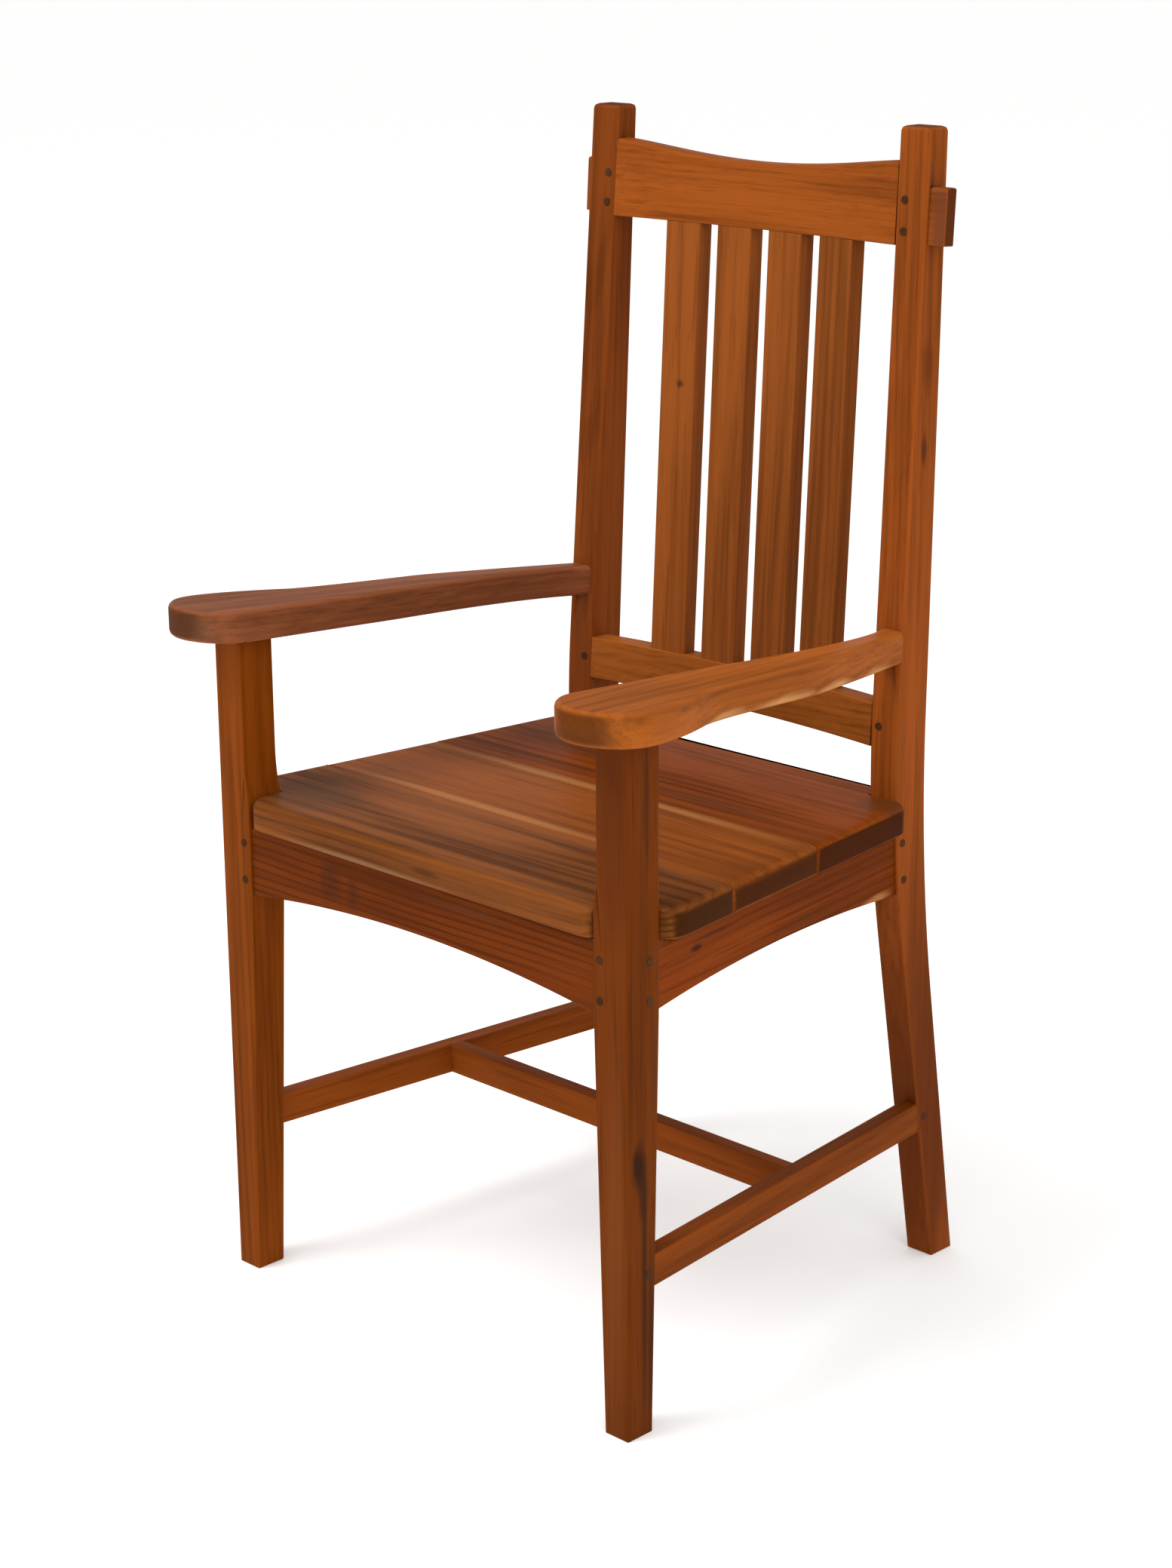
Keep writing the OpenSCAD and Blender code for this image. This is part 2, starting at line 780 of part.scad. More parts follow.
// ---------------------------------------------------------------- arms

// Arm's outline seen from above, as [x, y]: round tip, then narrowing to the post
function arm_outline() =
    let (
        wide = arm_tip[0] + arm_r,
        narrow = arm_tip[0] - arm_r,
        y0 = arm_tip[1],
        out_end = [post_out(604), 404],
        in_end = [post_out(604) - 26, 404]
    )
    concat(
        arc(arm_tip, arm_r, -180, 0, 24),
        curve([wide, y0], [wide, 30], [262, 90]),
        curve([262, 90], [254, 116], [246, 225]),
        curve([246, 225], [243.8, 255], out_end),
        curve(in_end, [205, 345], [narrow, 170])
    );

module arm(side) {
    y0 = arm_tip[1] - arm_r - 5;
    y_low = post_front_y(arm_under(400));
    z_low = arm_under(400);
    z_high = z_low + arm_t;
    side_view = [
        [y0, arm_under(y0)], [y_low, arm_under(y_low)],
        [post_front_y(z_high), arm_under(post_front_y(z_high)) + arm_t],
        [y0, arm_under(y0) + arm_t]
    ];
    centred() on_side(side) color(oiled) difference() {
        union() {
            intersection() {
                translate([0, 0, 500]) linear_extrude(200) polygon(arm_outline());
                along_x(side_view, 100, 350);
            }
            arm_tenon();
        }
        leg_tenon(fit);
    }
}

module arm_left() { arm(left); }
module arm_right() { arm(right); }

// ---------------------------------------------------------------- peg groups

module crest_rail_pegs() {
    centred() color(dark_peg) for (side = [left, right]) on_side(side) crest_pegs();
}

module lower_back_rail_pegs() {
    centred() color(dark_peg) for (side = [left, right]) on_side(side) low_rail_pegs();
}

module front_apron_pegs() {
    centred() color(dark_peg) for (side = [left, right]) on_side(side) front_pegs();
}

module rear_apron_pegs() {
    centred() color(dark_peg) for (side = [left, right]) on_side(side) rear_pegs();
}

module side_apron_pegs() {
    centred() color(dark_peg) for (side = [left, right]) on_side(side) side_pegs();
}

module side_stretcher_pegs() {
    centred() color(dark_peg) for (side = [left, right]) on_side(side) stretcher_pegs();
}

front_leg_left();
front_leg_right();
back_post_left();
back_post_right();
front_apron();
rear_apron();
side_apron_left();
side_apron_right();
side_stretcher_left();
side_stretcher_right();
cross_stretcher();
seat_board_front();
seat_board_middle();
seat_board_back();
seat_spline_front();
seat_spline_rear();
crest_rail();
lower_back_rail();
back_slat_1();
back_slat_2();
back_slat_3();
back_slat_4();
arm_left();
arm_right();
corner_block_front_left();
corner_block_front_right();
corner_block_rear_left();
corner_block_rear_right();
crest_rail_pegs();
lower_back_rail_pegs();
front_apron_pegs();
rear_apron_pegs();
side_apron_pegs();
side_stretcher_pegs();
seat_screws();
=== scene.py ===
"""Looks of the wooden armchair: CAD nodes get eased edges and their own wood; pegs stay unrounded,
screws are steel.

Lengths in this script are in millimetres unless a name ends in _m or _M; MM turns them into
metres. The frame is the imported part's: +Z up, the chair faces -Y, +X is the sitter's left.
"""

import math

import bmesh
import bpy
from mathutils import Matrix, Vector
from mathutils.bvhtree import BVHTree


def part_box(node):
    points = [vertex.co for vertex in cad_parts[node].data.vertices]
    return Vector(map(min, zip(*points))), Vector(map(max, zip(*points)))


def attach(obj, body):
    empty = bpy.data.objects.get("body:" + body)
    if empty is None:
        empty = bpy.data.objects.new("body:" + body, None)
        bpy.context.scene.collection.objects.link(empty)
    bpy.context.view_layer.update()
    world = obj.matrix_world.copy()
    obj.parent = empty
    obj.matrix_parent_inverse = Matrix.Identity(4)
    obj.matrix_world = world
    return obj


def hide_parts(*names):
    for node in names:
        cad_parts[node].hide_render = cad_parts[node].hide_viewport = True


MM = 0.001
ACROSS, DEEP, UP = Vector((1, 0, 0)), Vector((0, 1, 0)), Vector((0, 0, 1))

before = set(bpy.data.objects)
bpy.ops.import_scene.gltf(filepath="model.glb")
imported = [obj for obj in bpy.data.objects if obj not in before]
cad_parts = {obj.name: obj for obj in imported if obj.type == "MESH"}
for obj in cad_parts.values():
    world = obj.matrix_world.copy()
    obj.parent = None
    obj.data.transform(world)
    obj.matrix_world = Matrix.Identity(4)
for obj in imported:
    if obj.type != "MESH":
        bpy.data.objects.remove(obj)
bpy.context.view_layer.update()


# ------------------------------------------------------------------ shapes: eased edges

FLAT = math.radians(0.3)  # faces closer to level than this are one face
CORNER = math.radians(25)  # edges sharper than this are eased
SHARP = math.radians(40)  # corners sharper than this are shaded crisp
POCKET = 60  # a face that sees another face of its piece this close is inside a hole
OFF_FACE = 0.01  # how far off its face a ray starts
WELD = 0.005  # points closer than this are one point
BEVEL_STEPS = 3  # facets across a rounded edge
FACING = 0.9  # a normal with this much of itself along a direction faces that way


def pocket_faces(bm):
    """Indices of the faces inside mortises, grooves and peg holes, whose edges stay sharp."""
    walls = BVHTree.FromBMesh(bm)
    found = set()
    for face in bm.faces:
        start = face.calc_center_median() + face.normal * OFF_FACE * MM
        if walls.ray_cast(start, face.normal, POCKET * MM)[0] is not None:
            found.add(face.index)
    return found


def flat_patch(start, seen):
    """The flat patch of faces that start belongs to."""
    patch, waiting = [], [start]
    seen.add(start)
    while waiting:
        face = waiting.pop()
        patch.append(face)
        for edge in face.edges:
            if len(edge.link_faces) == 2 and edge.calc_face_angle(1) < FLAT:
                fresh = [other for other in edge.link_faces if other not in seen]
                seen.update(fresh)
                waiting.extend(fresh)
    return patch


def is_disc(patch):
    """Whether a patch has no hole in it, by Euler's formula."""
    verts = {vert for face in patch for vert in face.verts}
    edges = {edge for face in patch for edge in face.edges}
    return len(verts) - len(edges) + len(patch) == 1


def cleaned(node):
    """The CAD node's mesh, with each flat patch of triangles made one face where it can be."""
    bm = bmesh.new()
    bm.from_mesh(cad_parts[node].data)
    bmesh.ops.remove_doubles(bm, verts=bm.verts, dist=WELD * MM)
    seen = set()
    patches = [flat_patch(face, seen) for face in list(bm.faces) if face not in seen]
    for patch in patches:
        if len(patch) > 1 and is_disc(patch):
            bmesh.ops.dissolve_faces(bm, faces=patch, use_verts=False)
    bm.normal_update()
    bm.faces.ensure_lookup_table()
    return bm


def eased(node, width, special=None):
    """A piece that stands for a CAD node, with its outer edges rounded to a width in mm.

    special(centre in mm, normals of the two faces) may give another width for an edge, 0 for
    none, or None to leave it at the usual one.
    """
    bm = cleaned(node)
    weight = bm.edges.layers.float.new("bevel_weight_edge")
    pockets = pocket_faces(bm)
    widths = {}
    for edge in bm.edges:
        if len(edge.link_faces) != 2 or edge.calc_face_angle_signed(0) < CORNER:
            continue
        if any(face.index in pockets for face in edge.link_faces):
            continue
        centre = (edge.verts[0].co + edge.verts[1].co) / 2 / MM
        normals = [face.normal for face in edge.link_faces]
        chosen = special(centre, normals) if special else None
        widths[edge] = width if chosen is None else chosen
    widest = max(widths.values(), default=0) or 1
    for edge, value in widths.items():
        edge[weight] = value / widest
    mesh = bpy.data.meshes.new(node + "_shape")
    bm.to_mesh(mesh)
    bm.free()
    for _ in range(2):  # the second slot marks the rounded faces
        mesh.materials.append(None)

    rough = bpy.data.objects.new(node + "_rough", mesh)
    bpy.context.collection.objects.link(rough)
    bevel = rough.modifiers.new("ease", "BEVEL")
    bevel.limit_method = "WEIGHT"
    bevel.width = widest * MM
    bevel.segments = BEVEL_STEPS
    bevel.material = 1
    bevel.use_clamp_overlap = False
    bevel.miter_outer = "MITER_ARC"
    done = bpy.data.meshes.new_from_object(
        rough.evaluated_get(bpy.context.evaluated_depsgraph_get())
    )
    bpy.data.objects.remove(rough)
    mark_wear(done)

    piece = bpy.data.objects.new(node + "_piece", done)
    bpy.context.collection.objects.link(piece)
    smooth(piece)
    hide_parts(node)
    return piece


def mark_wear(mesh):
    """Writes the attribute edge_wear: 1 in the middle of a rounded edge, 0 on flat faces."""
    flat = set()
    for face in mesh.polygons:
        if face.material_index == 0:
            flat.update(face.vertices)
        face.material_index = 0
    mesh.materials.pop(index=1)
    wear = mesh.attributes.new("edge_wear", "FLOAT", "POINT")
    for vertex in mesh.vertices:
        wear.data[vertex.index].value = 0.0 if vertex.index in flat else 1.0


def smooth(piece):
    """Smooth shading that keeps large faces flat and sharp corners crisp."""
    piece.data.set_sharp_from_angle(angle=SHARP)
    piece.data.shade_smooth()
    normals = piece.modifiers.new("flat_faces", "WEIGHTED_NORMAL")
    normals.keep_sharp = True


# ------------------------------------------------------------------ shaders: small helpers

ROUGH_NOISE = 0.55  # how much the finer octaves of every noise count
COLOUR_A, COLOUR_B, COLOUR_OUT = 6, 7, 2  # the colour sockets of the Mix node


class Graph:
    """Builds one material's nodes: every method adds a node and returns its output socket."""

    def __init__(self, name):
        self.material = bpy.data.materials.new(name)
        self.material.use_nodes = True
        self.tree = self.material.node_tree
        self.shader = self.tree.nodes["Principled BSDF"]

    def add(self, kind, inputs, output=0, **settings):
        node = self.tree.nodes.new("ShaderNode" + kind)
        for key, value in settings.items():
            setattr(node, key, value)
        for key, value in inputs.items():
            self.feed(node.inputs[key], value)
        return node.outputs[output]

    def feed(self, socket, value):
        if isinstance(value, bpy.types.NodeSocket):
            self.tree.links.new(value, socket)
        else:
            socket.default_value = value

    def math(self, operation, a, b=0.0, clamp=False):
        return self.add("Math", {0: a, 1: b}, operation=operation, use_clamp=clamp)

    def vector(self, operation, a, b=(0, 0, 0), output=0, scale=1.0):
        inputs = {0: a, 1: b}
        if operation == "SCALE":
            inputs = {0: a, "Scale": scale}
        return self.add("VectorMath", inputs, output, operation=operation)

    def mapped(self, vector, location=(0, 0, 0), rotation=(0, 0, 0), scale=(1, 1, 1)):
        values = {"Vector": vector, "Location": location, "Rotation": rotation, "Scale": scale}
        return self.add("Mapping", values)

    def along(self, vector, stretch):
        """Coordinates whose third axis, the grain, is squeezed so that patterns run along it."""
        return self.mapped(vector, scale=(1, 1, stretch))

    def noise(self, vector, scale, detail=2.0, output="Fac"):
        values = {"Vector": vector, "Scale": scale, "Detail": detail, "Roughness": ROUGH_NOISE}
        return self.add("TexNoise", values, output)

    def ramp(self, value, low, high, to_low=0.0, to_high=1.0):
        """value eased from low..high to to_low..to_high."""
        values = {
            "Value": value,
            "From Min": low,
            "From Max": high,
            "To Min": to_low,
            "To Max": to_high,
        }
        return self.add("MapRange", values, interpolation_type="SMOOTHSTEP")

    def mix(self, share, a, b):
        """Colour between a and b. The node's sockets are picked by place, as names repeat."""
        inputs = {0: share, COLOUR_A: self.rgba(a), COLOUR_B: self.rgba(b)}
        return self.add("Mix", inputs, COLOUR_OUT, data_type="RGBA")

    @staticmethod
    def rgba(value):
        return value if isinstance(value, bpy.types.NodeSocket) else (*value, 1.0)


# ------------------------------------------------------------------ shaders: wood

RAGGED = 0.35  # how ragged the rim of a mark is
WOBBLE_SHRINK, WOBBLE_SCALE = 0.35, 4.0  # the noise that makes it so, sized with the mark
RING = 6.0  # spacing of the year rings, in mm
RING_SCALE = 0.314  # the wave's scale that spaces its rings 1 m apart
PEAKS = 0.6, 0.72  # the part of a noise that shows as lines or pores
GLOSS = 0.1
OIL_IOR = 1.2  # a thin oil finish: little glare at low angles
PORE_TONE, LINE_TONE, END_TONE, WEAR_AND_SHEEN_TONE = 0.4, 0.55, 0.45, 1.15  # shares of a tone


def shade(colour, share):
    """A colour made darker or lighter."""
    return [c * share for c in colour]


def blot(graph, place, centre, size):
    """Soft mask, 1 inside an ellipsoid with its middle and half sizes in mm, ragged at its rim."""
    inverse = [1 / (value * MM) for value in size]
    offset = [-c / s for c, s in zip(centre, size)]
    local = graph.mapped(place, location=offset, scale=inverse)
    wobble = graph.noise(graph.mapped(place, scale=shade(inverse, WOBBLE_SHRINK)), WOBBLE_SCALE)
    distance = graph.vector("LENGTH", local, output="Value")
    shaken = graph.math("ADD", distance, graph.math("MULTIPLY", wobble, RAGGED * 2))
    rim, core = 1.0 + RAGGED * 1.4, 0.45 + RAGGED * 0.6
    return graph.ramp(shaken, rim, core)


def wood(name, grain, light, dark, seed, figure=0.25, ends=0.75, blots=()):
    """Oiled hardwood whose grain runs along a direction.

    light and dark are the two colours the grain swings between, and figure is how strongly the
    year rings show. ends is how much of the end grain's dark tone is mixed in. blots are
    (centre, half sizes, colour, strength).
    """
    g = Graph(name)
    coords = g.tree.nodes.new("ShaderNodeTexCoord")
    place = coords.outputs["Object"]
    turn = grain.rotation_difference(UP).to_euler()
    # Every piece is cut from another place in the log
    shift = [0.11 + 0.013 * (seed % 7), 0.06 + 0.009 * (seed % 5), 0.37 * seed]
    log = g.mapped(place, location=shift, rotation=turn)

    # The trunk sways slowly along its length, and its rings and streaks sway with it
    slow = g.along(log, stretch=0.07)
    drift = g.noise(slow, scale=11.0, output="Color")
    sway = g.vector("SCALE", g.vector("SUBTRACT", drift, (0.5, 0.5, 0.5)), scale=0.028)
    bent = g.vector("ADD", slow, sway)
    rings = g.add(
        "TexWave",
        {
            "Vector": bent,
            "Scale": RING_SCALE / (RING * MM),
            "Distortion": 1.2,
            "Detail": 2.0,
            "Detail Scale": 1.5,
        },
        "Fac",
        wave_type="RINGS",
        rings_direction="Z",
        wave_profile="SIN",
    )
    latewood = g.ramp(rings, low=0.55, high=0.98)
    streaks = g.noise(g.along(bent, stretch=0.5), scale=95.0, detail=4.0)
    clouds = g.noise(g.along(log, stretch=0.3), scale=7.0)
    fibres = g.noise(g.along(log, stretch=0.02), scale=900.0)
    fine_streaks = g.noise(g.along(bent, stretch=0.35), scale=210.0, detail=1.0)
    specks = g.noise(g.along(log, stretch=0.035), scale=620.0, detail=1.0)
    lines = g.ramp(fine_streaks, *PEAKS)
    pores = g.ramp(specks, *PEAKS)

    # Colour: rings where the clouds let them show, then streaks, pores, fibres and lines
    shown = g.math("MULTIPLY", g.ramp(clouds, low=0.35, high=0.62), figure)
    depth = g.math("MULTIPLY", latewood, shown)
    depth = g.math("ADD", depth, g.ramp(streaks, 0.3, 0.75, to_low=-0.1, to_high=0.6))
    shadow = g.ramp(clouds, 0.3, 0.7, to_low=-0.3, to_high=0.45)
    depth = g.math("ADD", depth, shadow, clamp=True)
    colour = g.mix(depth, light, dark)
    colour = g.mix(g.math("MULTIPLY", pores, 0.25), colour, shade(dark, PORE_TONE))
    colour = g.mix(g.ramp(fibres, 0.35, 0.65, to_high=0.14), colour, dark)
    colour = g.mix(g.math("MULTIPLY", lines, 0.3), colour, shade(dark, LINE_TONE))
    for centre, size, tint, strength in blots:
        mask = g.math("MULTIPLY", blot(g, place, centre, size), strength)
        colour = g.mix(mask, colour, tint)

    # End grain is darker, and the rounded edges are painted lighter in patches: partly worn wood,
    # partly painted highlight
    facing = g.vector("DOT_PRODUCT", coords.outputs["Normal"], grain, output="Value")
    end = g.ramp(g.math("ABSOLUTE", facing), low=0.7, high=0.96)
    colour = g.mix(g.math("MULTIPLY", end, ends), colour, shade(dark, END_TONE))
    wear = g.add("Attribute", {}, "Fac", attribute_name="edge_wear")
    wear_and_sheen = g.math("MULTIPLY", wear, g.ramp(clouds, 0.35, 0.6, to_high=0.3))
    colour = g.mix(wear_and_sheen, colour, shade(light, WEAR_AND_SHEEN_TONE))

    # Relief and sheen
    height = g.math("ADD", g.math("MULTIPLY", pores, -0.6), g.math("MULTIPLY", fibres, 0.5))
    height = g.math("ADD", height, g.math("MULTIPLY", latewood, 0.35))
    bump = g.add("Bump", {"Strength": 0.35, "Distance": 0.12 * MM, "Height": height})
    rough = g.ramp(clouds, 0.3, 0.7, to_low=0.4, to_high=0.5)
    rough = g.math("ADD", rough, g.math("MULTIPLY", pores, 0.12))
    rough = g.math("ADD", rough, g.math("MULTIPLY", end, 0.15))
    rough = g.math("SUBTRACT", rough, g.math("MULTIPLY", wear, 0.05))
    g.feed(g.shader.inputs["Base Color"], colour)
    g.feed(g.shader.inputs["Roughness"], rough)
    g.feed(g.shader.inputs["Normal"], bump)
    g.shader.inputs["Specular IOR Level"].default_value = GLOSS
    g.shader.inputs["IOR"].default_value = OIL_IOR
    return g.material


def steel(name):
    """Plain brushed screw steel."""
    g = Graph(name)
    place = g.tree.nodes.new("ShaderNodeTexCoord").outputs["Object"]
    scratches = g.noise(g.along(place, stretch=0.1), scale=2500.0)
    colour = g.mix(scratches, (0.42, 0.42, 0.43), (0.6, 0.6, 0.6))
    rough = g.ramp(scratches, 0.3, 0.7, to_low=0.28, to_high=0.45)
    g.feed(g.shader.inputs["Base Color"], colour)
    g.feed(g.shader.inputs["Roughness"], rough)
    g.shader.inputs["Metallic"].default_value = 1.0
    return g.material


# ------------------------------------------------------------------ the pieces

TENON_FROM = 200  # the crest rail's tenons stand out of the posts from here
NOTCH = 218  # the seat is notched round the legs and posts inside this distance from its middle
AT_JOINT, AT_REAR, PAST_FRONT = 0.5, 5, 20  # how close a seat edge lies to what it is part of
UPRIGHT = 0.5  # a face whose normal rises less than this is a side
ARM_END = 60  # the edges of an arm's rear end lie within this distance of it

# Widths of eased edges
POST_TOP, POST_FOOT, LEG_FOOT = 4.5, 1.2, 1.0
CREST_TENON, CREST_UNDER = 1.2, 1.0
SEAT_TOP, SEAT_UNDER, SEAT_REAR, SEAT_CORNER, SEAT_NOTCHED = 9.0, 5.0, 3.0, 2.0, 0.8
JOINT_CORNER, JOINT_TOP = 4.0, 0.4


def finish(piece, material):
    """Gives a piece its material and its body."""
    piece.data.materials.clear()
    piece.data.materials.append(material)
    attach(piece, "root")


def faces(normals, way):
    """Whether one of an edge's two faces looks a given way."""
    return any(normal.dot(way) > FACING for normal in normals)


def no_ends(along):
    """Edges round an end face stay sharp: that end meets another piece."""

    def rule(_centre, normals):
        return 0 if faces(normals, along) or faces(normals, -along) else None

    return rule


def post_rule(_centre, normals):
    """The post's top is rounded over more than its long edges, and its foot less."""
    if faces(normals, UP):
        return POST_TOP
    return POST_FOOT if faces(normals, -UP) else None


def leg_rule(_centre, normals):
    """The leg's foot is hardly eased, and its top, under the arm, not at all."""
    if faces(normals, UP):
        return 0
    return LEG_FOOT if faces(normals, -UP) else None


def arm_rule(centre, normals):
    """Edges round the arm's rear end stay sharp: it meets the post."""
    at_rear = centre.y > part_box("arm_left")[1].y / MM - ARM_END
    return 0 if at_rear and faces(normals, DEEP) else None


def crest_rule(centre, normals):
    """The crest rail is rounded on top, hardly below and on its tenons, and not at the posts."""
    if abs(centre.x) > TENON_FROM:
        return CREST_TENON
    if faces(normals, ACROSS) or faces(normals, -ACROSS):
        return 0
    return CREST_UNDER if faces(normals, -UP) else None


seat_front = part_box("seat_board_front")[0].y / MM
joint_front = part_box("seat_board_middle")[0].y / MM
joint_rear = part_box("seat_board_middle")[1].y / MM
seat_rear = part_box("seat_board_back")[1].y / MM


def seat_rule(centre, normals):
    """Rounded outer edges, which die out at the joints and round the legs and posts."""
    at_joint = min(abs(centre.y - joint_front), abs(centre.y - joint_rear)) < AT_JOINT
    at_rear = centre.y > seat_rear - AT_REAR
    upright = all(abs(normal.z) < UPRIGHT for normal in normals)
    if at_joint and (faces(normals, DEEP) or faces(normals, -DEEP)):
        return JOINT_CORNER if upright else JOINT_TOP
    if at_rear and faces(normals, DEEP):
        return SEAT_REAR
    if upright:
        return SEAT_CORNER
    notched = 0.0  # 1 on the sides that look at a leg or a post
    for normal in normals:
        if abs(centre.x) < NOTCH:
            notched = max(notched, abs(normal.x))
        if centre.y > seat_front + PAST_FRONT:
            notched = max(notched, -normal.y)
        if centre.y < seat_rear - AT_REAR:
            notched = max(notched, normal.y)
    full = SEAT_TOP if faces(normals, UP) else SEAT_UNDER
    return full + (SEAT_NOTCHED - full) * notched**2


def tones(middle, swing=0.3):
    """The light and dark tone that a wood's grain swings between, about its middle colour."""
    return shade(middle, 1 + 0.8 * swing), shade(middle, 1 - 1.2 * swing)


def build(node, grain, middle, seed, width, special=None, swing=0.3, **look):
    """Makes a node's piece: its shape with eased edges, and its own wood with its marks and any
    painted shade.
    """
    light, dark = tones(middle, swing)
    piece = eased(node, width, special)
    marks = MARKS_AND_SHADE.get(node, ())
    skin = wood(node + "_wood", grain.normalized(), light, dark, seed, blots=marks, **look)
    finish(piece, skin)
    return piece


# Middle colours of the woods, linear
LEG = {"left": (0.116, 0.0250, 0.0020), "right": (0.188, 0.041, 0.0025)}
# Painted light and shade: the left post, near the camera, is painted lighter and the right post,
# further away, darker than their shared wood.
POST = {"left": (0.243, 0.055, 0.0075), "right": (0.170, 0.038, 0.0050)}
APRON = {"left": (0.172, 0.031, 0.0008), "right": (0.172, 0.033, 0.0020)}
STRETCHER = (0.208, 0.046, 0.0045)
ARM = {"left": (0.300, 0.078, 0.011), "right": (0.210, 0.064, 0.024)}
CREST = (0.240, 0.056, 0.007)
SLAT = (0.218, 0.057, 0.0095)
LOW_RAIL = (0.268, 0.072, 0.010)
FRONT_APRON = (0.130, 0.025, 0.0020)
SEAT = {
    "front": (0.182, 0.053, 0.010),
    "middle": (0.203, 0.051, 0.006),
    "back": (0.175, 0.035, 0.0020),
}
PEG = (0.065, 0.026, 0.010)
PLAIN = (0.360, 0.200, 0.090)

# Marks in the wood, and painted shade: node -> (centre, half sizes, colour, strength)
INK, SOOT, UMBER = (0.012, 0.006, 0.004), (0.035, 0.012, 0.005), (0.085, 0.026, 0.009)
SAPWOOD, CREAM, WORN = (0.48, 0.21, 0.065), (0.62, 0.32, 0.12), (0.30, 0.17, 0.085)
MARKS_AND_SHADE = {
    "front_leg_left": [
        ((254, -208, 246), (9, 9, 26), INK, 0.8),
        ((254, -203, 225), (6, 7, 40), SOOT, 0.7),
        ((254, -201, 130), (6, 4, 150), SOOT, 0.75),
        ((254, -194, 90), (6, 4, 110), SOOT, 0.6),
        ((254, -190, 330), (6, 4, 60), UMBER, 0.5),
        ((255, -198, 560), (6, 4, 60), SOOT, 0.6),
        # Painted shade under the arm: the upper front of the leg, between the seat and the arm, is
        # darkened.
        ((240, -221, 530), (24, 6, 110), (0.080, 0.016, 0.003), 0.5),
        ((240, -221, 170), (13, 5, 210), (0.170, 0.046, 0.009), 0.6),
    ],
    "back_post_left": [
        ((204, 207, 776), (6, 5, 18), SOOT, 0.65),
        ((203, 210, 850), (6, 9, 28), (0.09, 0.02, 0.005), 0.5),
        # Painted shadow: the lower part of the left post, below the seat, is darkened where the
        # seat shades it.
        ((199, 235, 180), (80, 90, 290), (0.10, 0.021, 0.0035), 0.8),
    ],
    "back_slat_1": [((-82, 203, 803), (5, 14, 4.5), SOOT, 0.7)],
    "side_apron_left": [
        ((245, -128, 414), (10, 10, 4), INK, 0.75),
        ((242, -103, 420), (12, 40, 2), SOOT, 0.6),
        ((221, 49, 382), (12, 50, 2), SOOT, 0.55),
        ((223, 34, 391), (12, 60, 2), UMBER, 0.55),
        ((208, 150, 379), (12, 26, 5), SAPWOOD, 0.6),
    ],
    "front_apron": [
        ((-110, -218, 412), (16, 10, 24), SOOT, 0.45),
        ((-80, -218, 408), (10, 10, 22), SOOT, 0.35),
        ((60, -218, 425), (70, 8, 5), UMBER, 0.5),
    ],
    "seat_board_front": [
        # Painted shade: the front face of the front board is darkened across its whole width,
        # against the key light falling on it.
        ((0, -224, 448), (240, 7, 20), UMBER, 0.35),
        ((-70, -223, 440), (120, 5, 4), WORN, 0.45),
        ((20, -222, 450), (22, 6, 4), SOOT, 0.5),
        ((150, -118, 464), (90, 16, 12), UMBER, 0.6),
        ((40, -175, 464), (170, 10, 12), UMBER, 0.45),
        ((-190, -170, 464), (80, 50, 12), (0.075, 0.036, 0.018), 0.55),
    ],
    "seat_board_middle": [
        ((-40, -88, 464), (230, 8, 12), SAPWOOD, 0.45),
        ((0, 21, 464), (250, 8, 12), SAPWOOD, 0.5),
    ],
    "seat_board_back": [
        ((212, 160, 464), (40, 34, 24), UMBER, 0.7),
        ((-140, 120, 464), (90, 60, 12), UMBER, 0.45),
        ((60, 60, 464), (130, 9, 12), UMBER, 0.5),
    ],
    "crest_rail": [
        ((215, 215, 978), (15, 40, 70), (0.14, 0.038, 0.014), 0.85),
        ((-213, 215, 978), (12, 40, 70), (0.14, 0.038, 0.014), 0.85),
    ],
    "arm_left": [
        ((246, -262, 622), (46, 12, 18), (0.13, 0.045, 0.018), 0.6),
        ((257, -110, 606), (9, 45, 9), CREAM, 0.6),
        ((249, -30, 601), (9, 60, 9), CREAM, 0.8),
        ((238, 60, 596), (10, 60, 9), CREAM, 0.8),
        ((221, 140, 591), (10, 50, 9), CREAM, 0.7),
    ],
    "arm_right": [((-242, -260, 628), (46, 16, 22), (0.10, 0.055, 0.032), 0.6)],
}

for side, seed in (("left", 1), ("right", 2)):
    out = 1 if side == "left" else -1
    lean = Vector((-0.013 * out, 0.03, 1))
    build("front_leg_" + side, UP, LEG[side], seed, width=1.8, special=leg_rule)
    build("back_post_" + side, lean, POST[side], seed + 10, width=2.5, special=post_rule)
    diagonal = Vector((-0.13 * out, 1, 0))
    build("side_apron_" + side, diagonal, APRON[side], seed + 20, width=1.4,
          special=no_ends(DEEP), figure=0.7)
    low = Vector((-0.09 * out, 1, 0))
    build("side_stretcher_" + side, low, STRETCHER, seed + 30, width=1.6, special=no_ends(DEEP))
    arm_line = Vector((-0.12 * out, 1, -0.06))
    build("arm_" + side, arm_line, ARM[side], seed + 40, width=5.0, special=arm_rule)

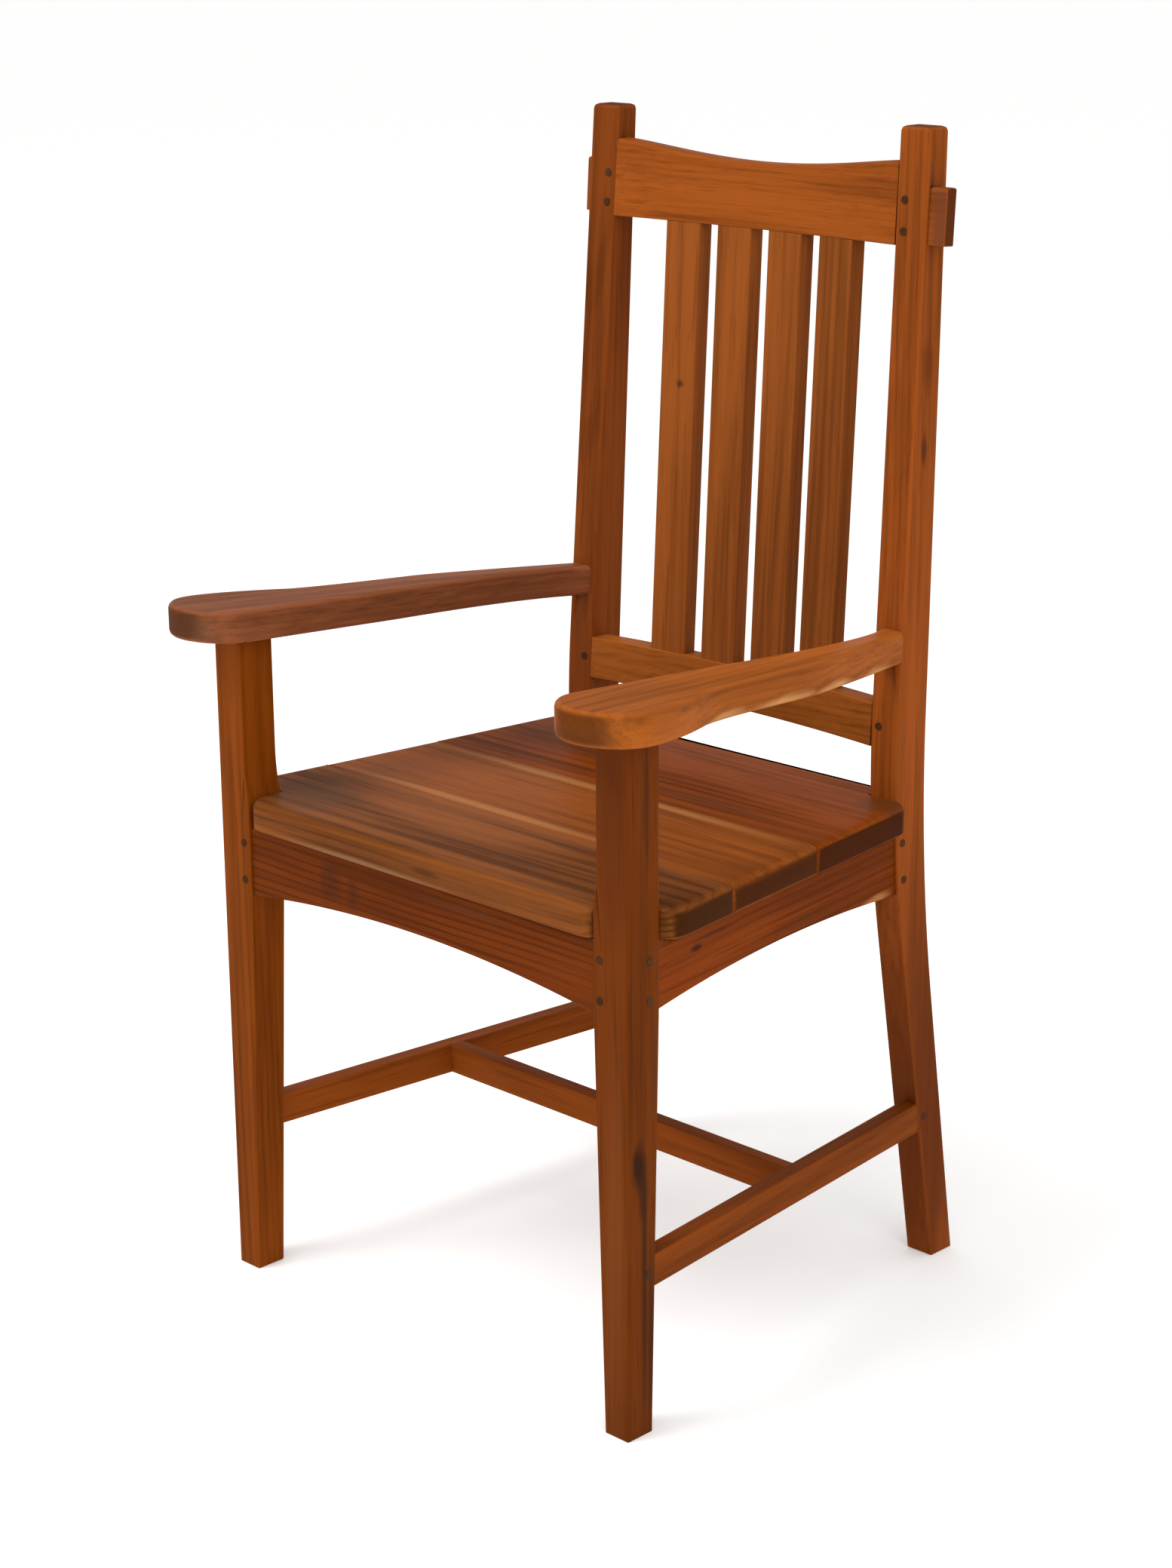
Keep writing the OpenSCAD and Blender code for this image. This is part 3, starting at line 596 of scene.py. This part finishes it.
butted = no_ends(ACROSS)
build("front_apron", ACROSS, FRONT_APRON, seed=50, width=1.4, special=butted, figure=0.7)
build("rear_apron", ACROSS, STRETCHER, seed=51, width=1.4, special=butted)
build("cross_stretcher", ACROSS, STRETCHER, seed=52, width=1.6, special=butted)
build("crest_rail", ACROSS, CREST, seed=53, width=4.5, special=crest_rule, figure=0.3)
build("lower_back_rail", ACROSS, LOW_RAIL, seed=54, width=1.5, special=butted)
rake = Vector((0, 0.06, 1))
for number in range(1, 5):
    build(f"back_slat_{number}", rake, SLAT, seed=60 + number, width=2.0, special=no_ends(UP))
for number, board in enumerate(("front", "middle", "back")):
    build("seat_board_" + board, ACROSS, SEAT[board], seed=70 + number, width=2.0,
          special=seat_rule, figure=0.55, ends=0.95, swing=0.4)
for number, place in enumerate(("front", "rear")):
    build("seat_spline_" + place, ACROSS, PLAIN, seed=80 + number, width=0.5)
for number, corner in enumerate(("front_left", "front_right", "rear_left", "rear_right")):
    build("corner_block_" + corner, ACROSS, PLAIN, seed=90 + number, width=1.0)

# Pegs show only their heads and the screws are underneath, so their CAD shapes are used as is
peg_light, peg_dark = tones(PEG)
for node in sorted(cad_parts):
    if node.endswith("_pegs"):
        skin = wood(node + "_wood", DEEP, peg_light, peg_dark, seed=len(node), ends=0.2)
        finish(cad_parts[node], skin)
finish(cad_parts["seat_screws"], steel("screw_steel"))


# ------------------------------------------------------------------ floor, light, camera


FLOOR_HALF_M = 40
FLOOR_PAINT = (0.93, 0.93, 0.925, 1)
WHITE = (1, 1, 1, 1)
FLOOR_GLOW = 0.2  # lifts the floor to the white of the backdrop
STUDIO_LIGHT = 0.85

EYE_M = (1.8698, -1.8937, 1.2797)
TURN, TILT, ROLL = 44.36, 16.81, -0.29  # degrees: round the chair, down from level, sideways
LENS, SENSOR = 95.16, 36
SHIFT = -0.018


def floor():
    mesh = bpy.data.meshes.new("floor")
    low, high = -FLOOR_HALF_M, FLOOR_HALF_M
    corners = [(low, low, 0), (high, low, 0), (high, high, 0), (low, high, 0)]
    mesh.from_pydata(corners, [], [(0, 1, 2, 3)])
    ground = bpy.data.objects.new("floor", mesh)
    bpy.context.collection.objects.link(ground)
    g = Graph("floor_paint")
    g.shader.inputs["Base Color"].default_value = FLOOR_PAINT
    g.shader.inputs["Roughness"].default_value = 0.9
    g.shader.inputs["Specular IOR Level"].default_value = 0.1
    g.shader.inputs["Emission Color"].default_value = WHITE
    g.shader.inputs["Emission Strength"].default_value = FLOOR_GLOW
    mesh.materials.append(g.material)


def area_light(name, place_m, target_m, size_m, power):
    data = bpy.data.lights.new(name, "AREA")
    data.shape = "DISK"
    data.size = size_m
    data.energy = power
    lamp = bpy.data.objects.new(name, data)
    lamp.location = place_m
    aim = Vector(target_m) - Vector(place_m)
    lamp.rotation_euler = aim.to_track_quat("-Z", "Y").to_euler()
    bpy.context.collection.objects.link(lamp)


def camera():
    data = bpy.data.cameras.new("camera")
    data.sensor_fit = "HORIZONTAL"
    data.sensor_width = SENSOR
    data.lens = LENS
    data.shift_x = SHIFT
    data.clip_end = 200
    eye = bpy.data.objects.new("camera", data)
    turn = Matrix.Rotation(math.radians(TURN), 4, "Z")
    tilt = Matrix.Rotation(math.radians(90 - TILT), 4, "X")
    roll = Matrix.Rotation(math.radians(ROLL), 4, "Z")
    eye.matrix_world = Matrix.Translation(EYE_M) @ turn @ tilt @ roll
    bpy.context.collection.objects.link(eye)
    bpy.context.scene.camera = eye


floor()
chair_m = (0, 0, 0.5)
area_light("key", (-0.9, -2.3, 3.9), chair_m, size_m=2.0, power=85)
area_light("fill", (3.0, -1.2, 2.4), chair_m, size_m=2.5, power=29)
world = bpy.data.worlds.new("studio")
world.use_nodes = True
backdrop = world.node_tree.nodes["Background"]
backdrop.inputs["Color"].default_value = WHITE
backdrop.inputs["Strength"].default_value = STUDIO_LIGHT
bpy.context.scene.world = world
bpy.context.scene.view_settings.view_transform = "Standard"
camera()
